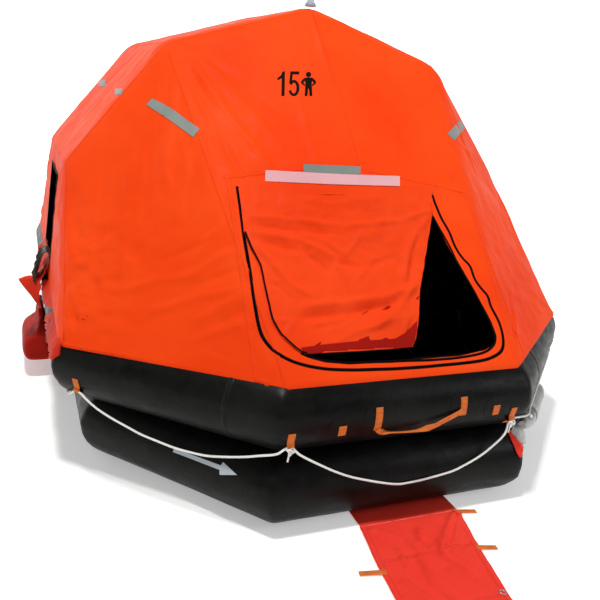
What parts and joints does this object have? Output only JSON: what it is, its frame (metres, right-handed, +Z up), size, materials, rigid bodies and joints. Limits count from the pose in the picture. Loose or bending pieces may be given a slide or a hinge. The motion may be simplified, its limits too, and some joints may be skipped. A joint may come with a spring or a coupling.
{
  "type": "self-righting life raft",
  "caption": "Inflated self-righting life raft: two stacked black tubes, an orange canopy with entries at both ends, a side port, boarding ramps and lines.",
  "frame": {"origin": "middle of the floor's underside, on the ground the raft stands on", "axes": "+X to the right of a viewer facing the front entry, +Y from the front entry to the rear entry, +Z up"},
  "size_m": [2.7835, 4.9869, 2.1072],
  "materials": {
    "canopy_fabric": "coated orange canopy cloth",
    "tube_rubber": "black rubberised cloth, slightly glossy",
    "floor_rubber": "black rubberised cloth, matt",
    "ramp_fabric": "red coated cloth",
    "webbing": "orange webbing",
    "rope": "white braided rope",
    "bottle_metal": "grey painted gas bottle",
    "lamp_plastic": "pale blue grey plastic",
    "pocket_fabric": "black folded cloth"
  },
  "bodies": {
    "raft": {"lower_tube": "tube_rubber", "upper_tube": "tube_rubber", "raft_floor": "floor_rubber", "water_pocket_1": "pocket_fabric", "water_pocket_2": "pocket_fabric", "water_pocket_3": "pocket_fabric", "water_pocket_4": "pocket_fabric", "arch_front": "tube_rubber", "arch_rear": "tube_rubber", "canopy_front": "canopy_fabric", "canopy_front_left": "canopy_fabric", "canopy_front_right": "canopy_fabric", "canopy_rear": "canopy_fabric", "canopy_rear_left": "canopy_fabric", "canopy_rear_right": "canopy_fabric", "canopy_slant_left": "canopy_fabric", "canopy_slant_right": "canopy_fabric", "canopy_roof_left": "canopy_fabric", "canopy_roof_right": "canopy_fabric", "side_wall_left": "canopy_fabric", "side_wall_right": "canopy_fabric", "side_ramp": "ramp_fabric", "ramp_apron": "ramp_fabric", "grab_line": "rope", "inner_line": "rope", "front_handle": "webbing", "front_patch_left": "webbing", "front_patch_right": "webbing", "rear_ladder": "webbing", "gas_bottle": "bottle_metal", "bottle_sleeve": "ramp_fabric", "canopy_light": "lamp_plastic"},
    "front_door": {"front_door_flap": "canopy_fabric"},
    "rear_door": {"rear_door_flap": "canopy_fabric"},
    "port_flap": {"side_flap": "canopy_fabric"},
    "ramp": {"boarding_ramp": "ramp_fabric"}
  },
  "joints": [
    {"name": "front_door_hinge", "type": "hinge", "parent": "raft", "child": "front_door", "pos_m": [0, -1.3135, 1.3358], "axis": [-1, 0, 0], "range_deg": [0, 100]},
    {"name": "rear_door_hinge", "type": "hinge", "parent": "raft", "child": "rear_door", "pos_m": [0, 1.3135, 1.3358], "axis": [1, 0, 0], "range_deg": [0, 100]},
    {"name": "port_flap_hinge", "type": "hinge", "parent": "raft", "child": "port_flap", "pos_m": [-1.2863, -0.02, 0.68], "axis": [0, 1, 0], "range_deg": [0, 120]},
    {"name": "ramp_hinge", "type": "hinge", "parent": "raft", "child": "ramp", "pos_m": [0.032, -2.062, 0.009], "axis": [-1, 0, 0], "range_deg": [0, 80]}
  ]
}
